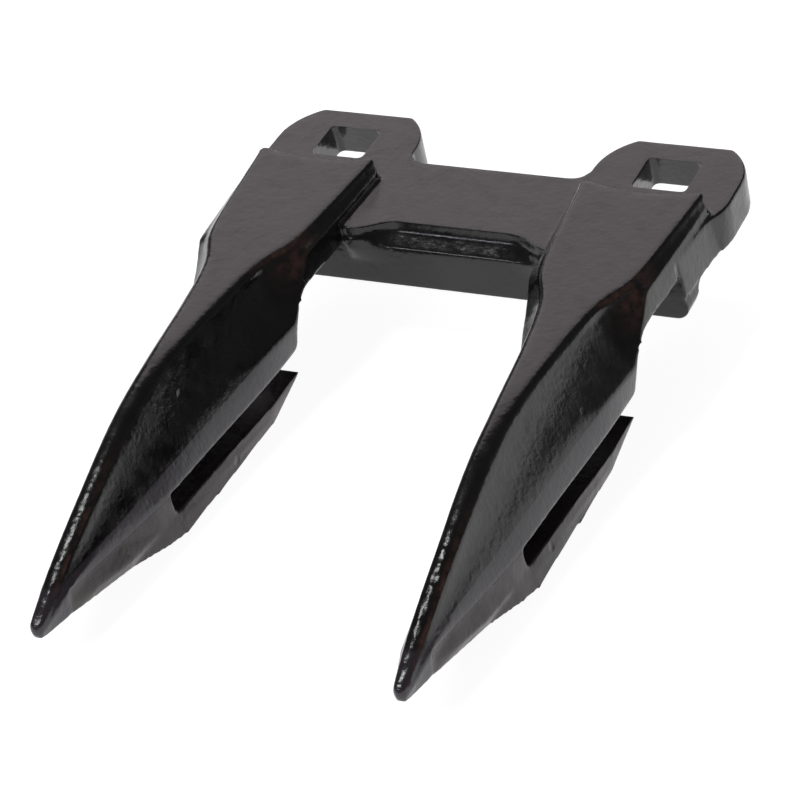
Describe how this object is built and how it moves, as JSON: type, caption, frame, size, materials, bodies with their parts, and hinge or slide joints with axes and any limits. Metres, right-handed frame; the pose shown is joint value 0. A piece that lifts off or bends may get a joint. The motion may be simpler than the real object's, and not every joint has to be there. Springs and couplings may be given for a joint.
{
  "type": "double knife guard",
  "caption": "Black painted double knife guard for a mower cutter bar, with pointed fingers, knife slots and a flat back plate with square bolt holes.",
  "frame": {"origin": "middle of the base of the bounding box", "axes": "+X across the two fingers, +Y from the finger tips to the bolt lugs, +Z out of the smooth face; the mounting face is level, 17.6 mm above the base, and the part is upside down from its place in use"},
  "size_m": [0.1114, 0.1712, 0.0309],
  "materials": {
    "plate_paint": "semi-gloss black paint over a cast surface",
    "finger_paint": "semi-gloss black paint, thin and brownish along the edges",
    "lip_paint": "satin brownish black paint"
  },
  "bodies": {
    "root": {"left_lug": "plate_paint", "right_lug": "plate_paint", "web_plate": "plate_paint", "cross_rib": "plate_paint", "left_finger": "finger_paint", "right_finger": "finger_paint", "left_lip": "lip_paint", "right_lip": "lip_paint"}
  },
  "joints": []
}
